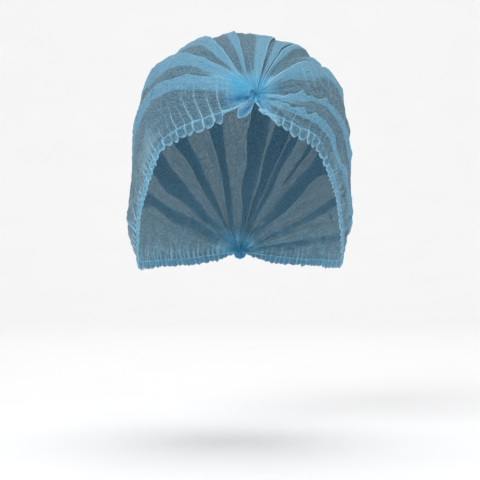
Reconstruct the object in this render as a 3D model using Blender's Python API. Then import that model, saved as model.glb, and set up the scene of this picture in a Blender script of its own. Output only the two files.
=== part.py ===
# Disposable pleated cap of thin spunbond cloth, bunched at a weld in front and one at the nape.
# Metres, +Z up, front towards -Y. The origin is the inside top of the crown, where it sits on a head.
import math

import bmesh
import bpy
import numpy as np

# Inside of the worn cap
HALF_WIDTH = 0.0850
FRONT_REACH = 0.0980
BACK_REACH = 0.1030
CROWN_HEIGHT = 0.0850
SIDE_TAPER_DEPTH = 0.260
FRONT_TAPER_DEPTH = 0.300
BACK_TAPER_DEPTH = 0.150
EAR_BULGE = 0.0060
EAR_DROP = 0.138
EAR_SETBACK = 0.008
EAR_LENGTH = 0.028

# Places of the two welds
FRONT_WELD_SIDE = 0.0110
FRONT_WELD_DROP = 0.0583
REAR_WELD_DROP = 0.1770

# Cloth, elastic and welds
CLOTH_WALL = 0.0010
CLEARANCE = 0.0003
EDGE_SAG = 0.0004          # how far the crown's straight edge pieces stray from the rim's curve
ELASTIC_RADIUS = 0.0006
WELD_RADIUS = 0.0050
WELD_HEIGHT = 0.0060
HEM_DEPTH = 0.0085
HEM_RUFFLE = 0.0016
SCALLOP_PITCH = 0.0082
GATHER_DEPTH = 0.0012
GATHER_LENGTH = 0.030
PLEAT_LIFT = 0.0048
TAB_LENGTH = 0.0135
TAB_WIDTH = 0.0070
TAB_ROOT_ANGLE = 158
TAB_ANGLE = 143
TAB_ROOT_WIDTH_SHARE = 0.28
TAB_WIDE_FROM = 0.80       # share of the tab's length from which it has its full width
TAB_ROUND_FROM = 0.75      # share of the length from which its end rounds off
TAB_ROUND_SHARE = 0.35

# How square the crown is, and how sharply it narrows below its widest level
CROWN_SQUARENESS = 2.1
TAPER_SQUARENESS = 2.5

# Share of a band's lift that the inner side follows, and how the lift grows away from a weld
INNER_LIFT_SHARE = 0.6
LIFT_GROWTH = 0.7
PLEAT_EDGE_SHARE = 0.018
NEAR_EDGE_SHARE = 0.006
FAN_TURN = 0.08

# Finest column spacing across the crown, and the rows along it
COLUMN_SHARE = 0.075
CROWN_ROWS = 33
ROW_BUNCHING = 0.25
SCALLOP_COLUMNS = 4
WELD_FOLDS = 9
WELD_FOLD_SHARE = 0.2
WELD_SIDES = 18
WELD_RINGS = 9
ELASTIC_SIDES_LEVEL = 2
TAB_ROWS = 9
TAB_COLUMNS = 6

# Rim, as angles in degrees from the top round the line between the welds.
# turn is 0 at the front weld and 1 at the rear one
RIM = (
    # turn, left, right
    (0.015, 131, 169),
    (0.040, 123, 136),
    (0.066, 116.5, 123),
    (0.092, 112.5, 115.5),
    (0.125, 109, 110.5),
    (0.160, 105.5, 105),
    (0.192, 103.2, 103.7),
    (0.225, 101.9, 105.3),
    (0.268, 101.3, 108.8),
    (0.315, 104.4, 110.5),
    (0.365, 107.8, 113),
    (0.420, 111, 116.3),
    (0.470, 113.4, 119.8),
    (0.520, 117, 122.5),
    (0.560, 120.5, 123.6),
    (0.600, 122.3, 123),
    (0.640, 121, 121),
    (0.700, 116.5, 116.5),
    (0.770, 111.5, 111.5),
    (0.850, 107, 107),
    (0.930, 101, 101),
    (0.985, 95, 95),
)

# Pleats, with the places of their crisp edge and of the far side of their band as shares of the rim's angle,
# left of the top below 0. Near is at a weld, far is past the fan. Lift is a share of the pleat lift
PLEATS = (
    # near edge, far edge, near band, far band, lift, first turn
    (-0.400, -0.630, -0.58, -0.735, 0.35, 0.00),
    (-0.360, -0.420, -0.385, -0.550, 1.00, 0.00),
    (-0.300, -0.250, -0.35, -0.340, 1.00, 0.00),
    (-0.220, -0.085, -0.26, -0.175, 0.55, 0.00),
    (0.070, 0.105, -0.05, 0.010, 0.60, 0.00),
    (0.120, 0.200, 0.09, 0.140, 0.50, 0.00),
    (0.180, 0.232, 0.27, 0.290, 0.80, 0.00),
    (0.282, 0.318, 0.29, 0.358, 0.45, 0.10),
    (0.300, 0.390, 0.36, 0.560, 1.00, 0.00),
    (0.370, 0.660, 0.385, 0.725, 0.60, 0.09),
    (0.400, 0.850, 0.80, 0.920, 0.50, 0.00),
)

# Slack of the cloth, as soft bulges away from the head
PUFFS = (
    # turn, share of the rim's angle, height as a share of the pleat lift, reach in turns, reach in shares
    (0.42, 0.76, 0.60, 0.14, 0.14),
    (0.42, 0.48, 0.55, 0.20, 0.12),
    (0.57, -0.92, 0.90, 0.05, 0.08),
)

# Depth of the hem past the elastic, as shares of its full depth
HEM = (
    # turn, left, right
    (0.030, 0.25, 0.50),
    (0.060, 0.30, 0.60),
    (0.085, 0.80, 0.95),
    (0.110, 1.00, 1.00),
    (0.220, 1.00, 1.00),
    (0.270, 0.70, 0.75),
    (0.330, 0.62, 0.62),
    (0.600, 0.65, 0.65),
    (0.800, 0.70, 0.70),
    (0.970, 0.40, 0.40),
)
HEM_FIRST_TURN = {"left": 0.058, "right": 0.030}
HEM_LAST_TURN = 0.970
SCALLOP_VALLEY = 0.70      # share of the hem's depth that is left between two scallops
SCALLOP_FIRST_TURN = 0.06

SIDES = {"left": -1, "right": 1}


def taper(drop, depth):
    """Share of the full reach that is left at a drop below the widest level."""
    return np.clip(1 - np.clip(drop / depth, 0, 1) ** TAPER_SQUARENESS, 1e-6, 1) ** (1 / TAPER_SQUARENESS)


def fill(point):
    """Below 1 inside the cap's inner form, 1 on it and more outside."""
    x, y, z = point[..., 0], point[..., 1], point[..., 2]
    rise = np.clip(z + CROWN_HEIGHT, 0, None) / CROWN_HEIGHT
    drop = np.clip(-CROWN_HEIGHT - z, 0, None)
    bulge = EAR_BULGE * np.exp(-(((y - EAR_SETBACK) / EAR_LENGTH) ** 2) - ((z + EAR_DROP) / EAR_LENGTH) ** 2)
    width = HALF_WIDTH * taper(drop, SIDE_TAPER_DEPTH) + bulge
    back = BACK_REACH * taper(drop, BACK_TAPER_DEPTH)
    front = FRONT_REACH * taper(drop, FRONT_TAPER_DEPTH)
    reach = np.where(y > 0, back, front)
    return ((x / width) ** 2 + (y / reach) ** 2) ** (CROWN_SQUARENESS / 2) + rise**CROWN_SQUARENESS


def to_skin(start, direction):
    """Where lines from a point inside leave the inner form."""
    near = np.zeros(direction.shape[:-1])
    far = np.full(direction.shape[:-1], 2 * (FRONT_REACH + BACK_REACH))
    for _ in range(44):
        middle = (near + far) / 2
        within = fill(start + direction * middle[..., None]) < 1
        near = np.where(within, middle, near)
        far = np.where(within, far, middle)
    return start + direction * near[..., None]


def unit(vector):
    return vector / np.linalg.norm(vector, axis=-1, keepdims=True)


def outward(point):
    """The inner form's outward direction at points on it."""
    step = 1e-5
    slope = [fill(point + axis) - fill(point - axis) for axis in np.eye(3) * step]
    return unit(np.stack(slope, -1))


# The line between the welds, and two directions across it, of which the second points up
FRONT = to_skin(np.array((FRONT_WELD_SIDE, 0, -FRONT_WELD_DROP)), np.array((0, -1.0, 0)))
REAR = to_skin(np.array((0, 0, -REAR_WELD_DROP)), np.array((0, 1.0, 0)))
CENTRE = (FRONT + REAR) / 2
WELD_SPAN = np.linalg.norm(FRONT - REAR)
ALONG = unit(FRONT - REAR)
ACROSS = unit(np.array((1.0, 0, 0)) - ALONG * ALONG[0])
UP = np.cross(ALONG, ACROSS)


def skin_point(turn, angle):
    """A point of the inner form by its turn from weld to weld and its angle from the top, in degrees."""
    swing = np.radians(np.asarray(angle, float))[..., None]
    roll = np.pi * np.asarray(turn, float)[..., None]
    sideways = np.sin(swing) * ACROSS + np.cos(swing) * UP
    return to_skin(CENTRE, np.cos(roll) * ALONG + np.sin(roll) * sideways)


def turn_at(distance):
    """The turn at a distance from a weld along the cloth."""
    return distance / (np.pi * WELD_SPAN / 2)


def smooth(rows, column, turn):
    """A table's column at a turn, on a smooth curve through its rows."""
    table = np.array(rows, float)
    x, y = table[:, 0], table[:, column]
    slope = np.gradient(y, x)
    place = np.clip(np.searchsorted(x, turn) - 1, 0, len(x) - 2)
    gap = x[place + 1] - x[place]
    u = np.clip((turn - x[place]) / gap, 0, 1)
    start = (1 + 2 * u) * (1 - u) ** 2 * y[place] + u * (1 - u) ** 2 * gap * slope[place]
    return start + u * u * (3 - 2 * u) * y[place + 1] + u * u * (u - 1) * gap * slope[place + 1]


def rim_angle(side, turn):
    return SIDES[side] * smooth(RIM, 1 if side == "left" else 2, turn)


def rim_frame(side, turn):
    """Points of the rim, with the directions along it, out of the cloth and away from the crown."""
    step = 1e-4
    point = skin_point(turn, rim_angle(side, turn))
    ahead = skin_point(turn + step, rim_angle(side, turn + step))
    along = unit(ahead - point)
    out = outward(point)
    away = unit(np.cross(along, out)) * SIDES[side]
    return point, along, out, away


def crown_edge(side, turn):
    """Angle at which the crown ends, clear of the elastic however the rim slants."""
    point, along, _, _ = rim_frame(side, turn)
    round_line = unit(np.cross(ALONG, point - CENTRE))
    arm = np.linalg.norm(np.cross(point - CENTRE, ALONG), axis=-1)
    slant = np.sum(along * round_line, -1)
    inset = (ELASTIC_RADIUS + CLEARANCE + EDGE_SAG) / np.sqrt(1 - slant**2)
    return rim_angle(side, turn) - SIDES[side] * np.degrees(inset / arm)


def fan(near, far, turn):
    """A pleat's place, from where it leaves a weld to where it runs past the fan."""
    return far + (near - far) * np.exp(-turn / FAN_TURN)


def crown_columns(turn):
    """Shares of the rim's angle at which the crown has a column, with three or four for each pleat."""
    keys = [(-1, -1), (1, 1)]
    for near_edge, far_edge, near_band, far_band, _, _ in PLEATS:
        side = math.copysign(1, far_edge - far_band)
        foot = (near_edge + side * NEAR_EDGE_SHARE, far_edge + side * PLEAT_EDGE_SHARE)
        keys += [foot, (near_edge, far_edge), (near_band, far_band)]
        if abs(far_band - far_edge) > COLUMN_SHARE:
            keys.append(((near_edge + near_band) / 2, (far_edge + far_band) / 2))
    keys.sort(key=lambda key: key[1])
    filled = []
    for (near_a, far_a), (near_b, far_b) in zip(keys, keys[1:]):
        steps = max(1, math.ceil((far_b - far_a) / COLUMN_SHARE))
        for part in np.arange(steps) / steps:
            filled.append((near_a + (near_b - near_a) * part, far_a + (far_b - far_a) * part))
    filled.append(keys[-1])
    return np.array([fan(near, far, turn) for near, far in filled]).T


def pleat_height(share, turn):
    """Lift of the bands over the crown, as a share of the pleat lift."""
    height = np.zeros_like(share)
    growth = np.sin(np.pi * turn) ** LIFT_GROWTH
    for near_edge, far_edge, near_band, far_band, lift, first in PLEATS:
        edge = fan(near_edge, far_edge, turn)
        band = fan(near_band, far_band, turn)
        run = fan(NEAR_EDGE_SHARE, PLEAT_EDGE_SHARE, turn)
        u = (share - edge) / (band - edge)
        outside = np.clip(1 + (share - edge) * np.sign(band - edge) / run, 0, 1)
        shape = np.where(u < 0, outside, np.cos(np.clip(u, 0, 1) * np.pi / 2))
        begin = np.clip((turn - first) / FAN_TURN, 0, 1) if first else 1
        height = np.maximum(height, shape * lift * growth * begin)
    return height


def puff_height(share, turn):
    """Lift of the slack cloth, as a share of the pleat lift."""
    height = np.zeros_like(share)
    for at_turn, at_share, top, turn_reach, share_reach in PUFFS:
        away = ((turn - at_turn) / turn_reach) ** 2 + ((share - at_share) / share_reach) ** 2
        height += top * np.exp(-away)
    return height


def wall(name, outer, inner, material):
    """A closed wall between two grids of points, outer and inner, shaped rows by columns."""
    rows, columns = outer.shape[:2]
    mesh = bpy.data.meshes.new(name)
    count = rows * columns
    points = np.concatenate((outer.reshape(-1, 3), inner.reshape(-1, 3)))
    index = np.arange(count).reshape(rows, columns)
    faces = []
    for i in range(rows - 1):
        for j in range(columns - 1):
            quad = (index[i, j], index[i, j + 1], index[i + 1, j + 1], index[i + 1, j])
            faces.append(quad)
            faces.append([corner + count for corner in reversed(quad)])
    border = list(index[0, :]) + list(index[1:, -1]) + list(index[-1, -2::-1]) + list(index[-2:0:-1, 0])
    for a, b in zip(border, border[1:] + border[:1]):
        faces.append((b, a, a + count, b + count))
    mesh.from_pydata(points.tolist(), [], [[int(corner) for corner in face] for face in faces])
    return finish_mesh(name, mesh, material)


def finish_mesh(name, mesh, material):
    """Splits the faces into triangles, turns them outwards and makes the object."""
    work = bmesh.new()
    work.from_mesh(mesh)
    bmesh.ops.triangulate(work, faces=work.faces[:])
    bmesh.ops.recalc_face_normals(work, faces=work.faces[:])
    if work.calc_volume(signed=True) < 0:
        bmesh.ops.reverse_faces(work, faces=work.faces[:])
    work.to_mesh(mesh)
    work.free()
    mesh.shade_smooth()
    mesh.set_sharp_from_angle(angle=math.radians(40))
    mesh.materials.append(material)
    thing = bpy.data.objects.new(name, mesh)
    bpy.context.collection.objects.link(thing)
    return thing


def make_material(name, color, roughness):
    material = bpy.data.materials.new(name)
    material.use_nodes = True
    shader = material.node_tree.nodes["Principled BSDF"]
    shader.inputs["Base Color"].default_value = (*color, 1)
    shader.inputs["Roughness"].default_value = roughness
    shader.inputs["Metallic"].default_value = 0
    return material


def row_turns(count):
    """Turns from weld to weld, closer together near the welds."""
    start = turn_at(WELD_RADIUS + CLEARANCE)
    step = np.linspace(0, 1, count)
    return start + (1 - 2 * start) * (step - ROW_BUNCHING * np.sin(2 * np.pi * step) / (2 * np.pi))


def make_crown(material):
    turn = row_turns(CROWN_ROWS)[:, None]
    share = crown_columns(np.minimum(turn[:, 0], 1 - turn[:, 0]))
    left = crown_edge("left", turn[:, 0])[:, None]
    right = crown_edge("right", turn[:, 0])[:, None]
    angle = np.where(share < 0, share * -left, share * right)
    skin = skin_point(np.broadcast_to(turn, share.shape), angle)
    out = outward(skin)
    bands = PLEAT_LIFT * pleat_height(share, np.minimum(turn, 1 - turn))
    slack = PLEAT_LIFT * puff_height(share, turn)
    gathered = GATHER_LENGTH / (np.pi * HALF_WIDTH / 2)
    near_rim = np.clip((np.abs(share) - 1 + gathered) / gathered, 0, 1)
    ribs = (np.arange(CROWN_ROWS) % 2)[:, None] * np.sin(np.pi * turn)
    gather = GATHER_DEPTH * ribs * near_rim**2
    outer = skin + out * (CLOTH_WALL + bands + slack + gather)[..., None]
    inner = skin + out * (INNER_LIFT_SHARE * bands + slack + gather)[..., None]
    return wall("crown", outer, inner, material)


def scallop_turns(side):
    """Turns that divide the hem into scallops of one width, and those into columns."""
    turn = np.linspace(HEM_FIRST_TURN[side], HEM_LAST_TURN, 400)
    point = skin_point(turn, rim_angle(side, turn))
    length = np.concatenate(([0], np.cumsum(np.linalg.norm(np.diff(point, axis=0), axis=1))))
    columns = SCALLOP_COLUMNS * round(length[-1] / SCALLOP_PITCH) + 1
    return np.interp(np.linspace(0, length[-1], columns), length, turn)


def make_hem(side, material):
    turn = scallop_turns(side)
    point, _, out, away = rim_frame(side, turn)
    place = (np.arange(len(turn)) % SCALLOP_COLUMNS) / SCALLOP_COLUMNS
    lobe = np.sin(np.pi * place) ** 0.5 * np.clip((turn - SCALLOP_FIRST_TURN) / FAN_TURN, 0, 1)
    depth = HEM_DEPTH * smooth(HEM, 1 if side == "left" else 2, turn)
    depth = depth * (SCALLOP_VALLEY + (1 - SCALLOP_VALLEY) * lobe)
    grids = []
    for height in (CLOTH_WALL, 0):
        rows = []
        for share in (0, 1):
            reach = ELASTIC_RADIUS + CLEARANCE + share * depth
            skin = to_skin(CENTRE, unit(point + away * reach[:, None] - CENTRE))
            rise = height + share * HEM_RUFFLE * lobe
            rows.append(skin + outward(skin) * rise[:, None])
        grids.append(np.array(rows))
    return wall("hem_" + side, grids[0], grids[1], material)


def make_elastic(side, material):
    point, _, out, _ = rim_frame(side, row_turns(2 * CROWN_ROWS - 1))
    centre = point + out * ELASTIC_RADIUS
    curve = bpy.data.curves.new("elastic_" + side, "CURVE")
    curve.dimensions = "3D"
    curve.bevel_depth = ELASTIC_RADIUS
    curve.bevel_resolution = ELASTIC_SIDES_LEVEL
    curve.use_fill_caps = True
    line = curve.splines.new("POLY")
    line.points.add(len(centre) - 1)
    for spot, place in zip(line.points, centre):
        spot.co = (*place, 1)
    curve.materials.append(material)
    thing = bpy.data.objects.new("elastic_" + side, curve)
    bpy.context.collection.objects.link(thing)
    return thing


def make_weld(name, at_rear, material):
    """A low bunch of cloth with folds into its middle, widest where the crown meets it."""
    mesh = bpy.data.meshes.new(name)
    ball = bmesh.new()
    bmesh.ops.create_uvsphere(ball, u_segments=WELD_SIDES, v_segments=WELD_RINGS, radius=1)
    for spot in ball.verts:
        x, y, z = spot.co
        swing = math.atan2(x, y)
        reach = math.hypot(x, y)
        fold = 1 - WELD_FOLD_SHARE / 2 * (1 - math.cos(WELD_FOLDS * swing)) * reach
        turn = turn_at(WELD_RADIUS * reach * fold)
        skin = skin_point(1 - turn if at_rear else turn, math.degrees(swing))
        height = CLOTH_WALL * (1 + min(z, 0)) + (WELD_HEIGHT - CLOTH_WALL) * max(z, 0)
        spot.co = skin + outward(skin) * height
    ball.to_mesh(mesh)
    ball.free()
    return finish_mesh(name, mesh, material)


def make_tab(material):
    """The flap that hangs from the front weld and lies on the brow."""
    along = np.linspace(0, 1, TAB_ROWS)[:, None]
    across = np.linspace(-1, 1, TAB_COLUMNS)[None, :]
    opening = np.sin(np.clip(along / TAB_WIDE_FROM, 0, 1) * np.pi / 2)
    widening = TAB_ROOT_WIDTH_SHARE + (1 - TAB_ROOT_WIDTH_SHARE) * opening
    rounding = 1 - TAB_ROUND_SHARE * np.clip((along - TAB_ROUND_FROM) / (1 - TAB_ROUND_FROM), 0, 1) ** 2
    half = TAB_WIDTH / 2 * widening * rounding
    distance = WELD_RADIUS + CLEARANCE + TAB_LENGTH * along + 0 * across
    middle = TAB_ROOT_ANGLE + (TAB_ANGLE - TAB_ROOT_ANGLE) * np.sin(along * np.pi / 2)
    angle = -middle - np.degrees(across * half / distance)
    skin = skin_point(turn_at(distance), angle)
    out = outward(skin)
    curl = HEM_RUFFLE * np.sin(np.pi * along / 2) * (1 - across**2) + 0 * skin[..., 0]
    outer = skin + out * (CLOTH_WALL + curl)[..., None]
    inner = skin + out * curl[..., None]
    return wall("end_tab", outer, inner, material)


for old in list(bpy.data.objects):
    bpy.data.objects.remove(old)

spunbond = make_material("blue_spunbond", (0.27, 0.52, 0.66), 0.8)
welded = make_material("welded_spunbond", (0.12, 0.42, 0.70), 0.6)
rubber = make_material("elastic_thread", (0.55, 0.78, 0.88), 0.7)

make_crown(spunbond)
make_weld("front_weld", False, welded)
make_weld("rear_weld", True, welded)
make_tab(spunbond)
for side in SIDES:
    make_hem(side, spunbond)
    make_elastic(side, rubber)
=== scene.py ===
import math

import bpy
import numpy as np
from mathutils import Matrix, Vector, noise


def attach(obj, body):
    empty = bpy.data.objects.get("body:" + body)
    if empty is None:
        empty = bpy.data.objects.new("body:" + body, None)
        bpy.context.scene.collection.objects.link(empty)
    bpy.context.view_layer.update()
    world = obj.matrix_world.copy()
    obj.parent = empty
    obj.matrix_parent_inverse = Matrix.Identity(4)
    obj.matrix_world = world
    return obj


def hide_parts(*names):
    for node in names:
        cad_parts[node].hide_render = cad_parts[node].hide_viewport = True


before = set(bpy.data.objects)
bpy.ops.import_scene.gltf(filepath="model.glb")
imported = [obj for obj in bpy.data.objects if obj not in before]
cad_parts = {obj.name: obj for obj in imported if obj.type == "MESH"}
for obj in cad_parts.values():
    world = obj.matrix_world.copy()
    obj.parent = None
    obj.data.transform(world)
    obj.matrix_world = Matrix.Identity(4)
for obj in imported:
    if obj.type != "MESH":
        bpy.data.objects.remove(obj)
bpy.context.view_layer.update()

# Inside of the worn cap, in metres, with the sizes of the part
HALF_WIDTH = 0.0850
FRONT_REACH = 0.0980
BACK_REACH = 0.1030
CROWN_HEIGHT = 0.0850
CROWN_SQUARENESS = 2.1
SIDE_TAPER_DEPTH = 0.260
FRONT_TAPER_DEPTH = 0.300
BACK_TAPER_DEPTH = 0.150
TAPER_SQUARENESS = 2.5
EAR_BULGE = 0.0060
EAR_DROP = 0.138
EAR_SETBACK = 0.008
EAR_LENGTH = 0.028

# How finely points, directions and noise are worked out
HALVINGS = 36
SLOPE_STEP = 1e-5
RIM_STEP_TURN = 1e-4
FINE_STEPS = 1200
CREST_SHARPNESS = 2.2
HASH_WAVES = (12.9898, 78.233)
HASH_SIZE = 43758.5453

# Welds, elastics, hem and tab
FRONT_WELD_SIDE = 0.0110
FRONT_WELD_DROP = 0.0583
REAR_WELD_DROP = 0.1770
WELD_RADIUS = 0.0050
CLEARANCE = 0.0003
ELASTIC_RADIUS = 0.0006
HEM_DEPTH = 0.0085
TAB_LENGTH = 0.0155
TAB_WIDTH = 0.0084
TAB_ROOT_ANGLE = 158
TAB_ANGLE = 143
TAB_ROOT_SHARE = 0.28

# Cloth of the crown: height of its lowest layer over the inside, and the step from layer to layer in a pleat
BASE_HEIGHT = 0.0001
LAYER_STEP = 0.0003
LEAST_HEIGHT = 0.0002
LEAST_LIFT_SHARE = 0.3
FLAT_SPACING_SHARE = 0.0105
FRONT_ROWS = (0, 0.07, 0.22, 0.5, 0.78, 0.93)
SIDE_ROWS = (0, 0.33, 0.67)

# Pleats: how they rise and spread from the welds, and the wander of their edges
PLEAT_LIFT = 0.0048
LIFT_GROWTH = 0.7
FAN_TURN = 0.08
FOLD_BULGE = 0.0012
FOLD_BENDS = (55, 0, -55)
MIDDLE_SHARE = 0.35
TOP_COLUMNS = 9
INNER_COLUMNS = (0, 0.3, 0.65, 1)
BACK_FOLD_SHARE = 1.03
WANDER_TURN = 0.05
BAND_WANDER_SHARE = 0.6
BAND_SWELL = 0.5
BAND_SWELL_TURN = 0.1
LIFT_SWELL = 0.35

# Tone of a pleat: 1 on its top, more at its folded edge, less in the layers below, which so keep more of the
# panels' painted shade
EDGE_TONE = 1.6
MIDDLE_TONE = 0.7
BACK_FOLD_TONE = 0.6
LOWEST_TONE = 0.5
TONE_FADE = 0.06

# Gathers at the elastic
FRONT_PITCH = 0.0078
SIDE_PITCH = 0.0046
PITCH_FADE = 0.06
UNEVEN_PITCH = 0.55
FRONT_ENDS_TURN = 0.27
FRONT_GATHER_LENGTH = 0.032
SIDE_GATHER_LENGTH = 0.020
FRONT_LENGTHS = (0.80, 1.40)
SIDE_LENGTHS = (0.55, 1.30)
GATHER_FADE = 0.10
GATHER_FADE_LAG = 0.02
GATHER_PUFF = 0.0011
GATHER_RIDGE = 0.0009
RIDGE_WIDTH = 0.052
PUFF_REACH_SHARE = 0.7
SIDE_GATHER_SIZE = 0.7
GATHER_LEAN = 0.36
LEAN_REACH = 0.14

# Lines high over the front, between two heights as shares of the arm
UPPER_LINES = (0.68, 1.06)
UPPER_FADE = 0.12
UPPER_FIRST_TURN = 0.07
UPPER_FIRST_FADE = 0.04
UPPER_SKIPPED_SHARE = 0.45

# Puckers low down at the sides, and the calm cloth beside the rims and the welds
PUCKER_HEIGHT = 0.0022
PUCKERS_PER_FOLD = 0.31
PUCKERS_PER_METRE = 48
PUCKER_REACH = 0.050
PUCKER_FIRST_TURN = 0.2
PUCKER_FADE = 0.1
PUCKER_LINE = 0.35
RIM_REACH = 0.006
CALM_REACH = 0.010
CALM_TURN = 0.07
WRINKLE_SINK = 0.0003

# Bunched cloth round the welds
KNOT_RISE = 0.0040
KNOT_REACH = 0.0100
REAR_SHARE = 0.35
TUCK_RADIUS = 0.0041
TUCK_DEPTH = 0.0010
TUCK_WIDTH = 0.0005
SPOKE_WAVES = 5.6
SPOKE_HEIGHT = 0.0017
SPOKE_REACH = 0.0180
SPOKE_LINE = 1.10
SPOKE_LINE_FLOOR = 0.40
SPOKE_LINE_REACH = 0.024

# Layers of cloth that the light passes
MOST_LAYERS = 16
CLOTH_PERCENTILE = 88
RIM_LAYERS = 0.8
RIM_LAYERS_REACH = 0.004
KNOT_LAYERS = 7
KNOT_LAYERS_REACH = 0.0115
CROWDED_TURN = 0.030
WELD_LAYERS = 9.0
TAB_LAYERS = 3.6
HEM_BARE_LAYERS = {"left": 4.0, "right": 1.6}
HEM_SIDE_LAYERS = 1.6

SIDES = {"left": -1, "right": 1}
COLUMN = {"left": 1, "right": 2}

RIM = (
    # turn, left, right
    (0.015, 131, 169),
    (0.040, 123, 136),
    (0.066, 116.5, 123),
    (0.092, 112.5, 115.5),
    (0.125, 109, 110.5),
    (0.160, 105.5, 105),
    (0.192, 103.2, 103.7),
    (0.225, 101.9, 105.3),
    (0.268, 101.3, 108.8),
    (0.315, 104.4, 110.5),
    (0.365, 107.8, 113),
    (0.420, 111, 116.3),
    (0.470, 113.4, 119.8),
    (0.520, 117, 122.5),
    (0.560, 120.5, 123.6),
    (0.600, 122.3, 123),
    (0.640, 121, 121),
    (0.700, 116.5, 116.5),
    (0.770, 111.5, 111.5),
    (0.850, 107, 107),
    (0.930, 101, 101),
    (0.985, 95, 95),
)

PLEATS = (
    # near edge, far edge, near band, far band, lift, first turn, folded share of the band, wobble
    (-0.310, -0.650, -0.58, -0.735, 0.35, 0.00, 0.95, 0.011),
    (-0.360, -0.420, -0.385, -0.550, 0.32, 0.00, 0.95, 0.010),
    (-0.300, -0.250, -0.35, -0.340, 0.78, 0.00, 0.78, 0.005),
    (-0.220, -0.085, -0.26, -0.175, 0.32, 0.00, 0.62, 0.003),
    (0.070, 0.105, -0.05, 0.010, 0.60, 0.00, 0.85, 0.004),
    (0.120, 0.200, 0.09, 0.140, 0.40, 0.00, 0.95, 0.004),
    (0.180, 0.218, 0.22, 0.258, 0.55, 0.00, 0.90, 0.004),
    (0.282, 0.318, 0.29, 0.352, 0.45, 0.19, 0.90, 0.005),
    (0.250, 0.390, 0.34, 0.545, 1.00, 0.00, 0.72, 0.007),
    (0.555, 0.682, 0.62, 0.735, 0.60, 0.00, 0.95, 0.010),
    (0.640, 0.880, 0.82, 0.915, 0.42, 0.00, 0.95, 0.010),
)

WANDER = (
    # strength, waves from weld to weld, seed
    (2.4, 11, 2.0),
    (1.0, 37, 4.0),
)

KINKS = (
    # far edge of the pleat, turn, shift of its edge, reach in turns
    (-0.650, 0.150, 0.014, 0.010),
    (-0.650, 0.205, -0.016, 0.012),
    (0.682, 0.060, 0.018, 0.012),
    (0.682, 0.083, -0.016, 0.007),
    (0.682, 0.117, -0.050, 0.014),
    (0.682, 0.138, 0.020, 0.008),
    (0.682, 0.165, 0.020, 0.016),
    (0.682, 0.195, -0.018, 0.010),
    (0.880, 0.043, -0.030, 0.008),
    (0.880, 0.062, 0.020, 0.006),
    (0.880, 0.085, 0.022, 0.010),
    (0.880, 0.100, -0.014, 0.006),
    (0.880, 0.115, -0.030, 0.008),
    (0.880, 0.134, 0.020, 0.008),
    (0.880, 0.158, -0.022, 0.009),
)

PUFFS = (
    # turn, share of the rim's angle, height as a share of the pleat lift, reach in turns, reach in shares
    (0.42, 0.76, 0.25, 0.14, 0.14),
    (0.42, 0.48, 0.35, 0.20, 0.12),
    (0.57, -0.92, 0.90, 0.05, 0.08),
    (0.30, -0.33, -0.45, 0.09, 0.035),
    (0.35, -0.455, 0.62, 0.09, 0.045),
    (0.29, 0.265, 0.60, 0.09, 0.035),
    (0.385, 0.60, 0.60, 0.05, 0.045),
)

BUNCHES = (
    # turn, angle, height, turn reach, angle reach, depth of the painted shade, more layers
    (0.048, -60, 0.0046, 0.044, 22, 0.0, 5),
    (0.030, -62, 0.0024, 0.018, 26, 0.0, 8),
    (0.033, -99, -0.0010, 0.014, 11, 1.0, 5),
    (0.052, -101, -0.0014, 0.016, 12, 0.7, 2),
    (0.019, -108, -0.0006, 0.008, 14, 1.0, 6),
    (0.042, 20, 0.0010, 0.024, 34, 0.0, 3),
    (0.060, 84, 0.0018, 0.030, 7, 0.0, 2),
    (0.055, 60, -0.0008, 0.016, 8, 0.45, 1),
)

GATHERS = {
    # seed, strength of the weakest and of the strongest line, strength of the lines high over the front
    "left": (1.0, 0.50, 1.00, 0.25),
    "right": (5.0, 0.12, 0.62, 0.42),
}

LEAN_WAVES = (
    # strength, waves per fold, waves per metre, step between the sides, seed
    (0.30, 0.45, 22, 7, 3.0),
    (0.16, 0.80, 95, 5, 14.0),
)
LEFT_LEAN = 0.34
LEFT_LEAN_TURN = 0.17
LEFT_LEAN_REACH = 0.09

WRINKLES = (
    # height, sharp or soft, waves across, slant, waves along, seed
    (0.0011, "sharp", 10, 2, 5, 1.0),
    (0.0006, "sharp", 21, -4, 13, 2.0),
    (0.0015, "soft", 7, 0, 8, 11.0),
    (0.0006, "soft", 30, 0, 30, 5.0),
    (0.00025, "soft", 70, 0, 75, 7.0),
)

CROWDED_SIDES = (
    # angle, further turns, reach in degrees
    (-52, 0.034, 30),
    (5, 0.012, 32),
)

HEM = (
    # turn, left, right
    (0.018, 0.14, 0.36),
    (0.048, 0.16, 0.42),
    (0.062, 0.18, 0.55),
    (0.074, 0.24, 0.80),
    (0.090, 0.92, 0.95),
    (0.110, 1.00, 1.00),
    (0.220, 1.00, 1.00),
    (0.270, 0.84, 0.88),
    (0.330, 0.86, 0.86),
    (0.560, 0.86, 0.86),
    (0.800, 0.72, 0.72),
    (0.965, 0.42, 0.42),
    (0.982, 0.15, 0.15),
)

HEM_ROUTE = (
    # share of the hem's depth, 1 in front and 0 behind, strength of the pale line
    (0.00, 1.0, 0.5),
    (0.10, 1.0, 0.2),
    (0.24, 1.0, 0.0),
    (0.40, 1.0, 0.0),
    (0.56, 1.0, 0.0),
    (0.72, 1.0, 0.0),
    (0.86, 1.0, 0.2),
    (0.95, 1.0, 0.8),
    (1.00, 0.5, 1.0),
    (0.95, 0.0, 0.8),
    (0.82, 0.0, 0.2),
    (0.60, 0.0, 0.0),
    (0.40, 0.0, 0.0),
    (0.20, 0.0, 0.0),
    (0.00, 0.0, 0.0),
)

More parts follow.
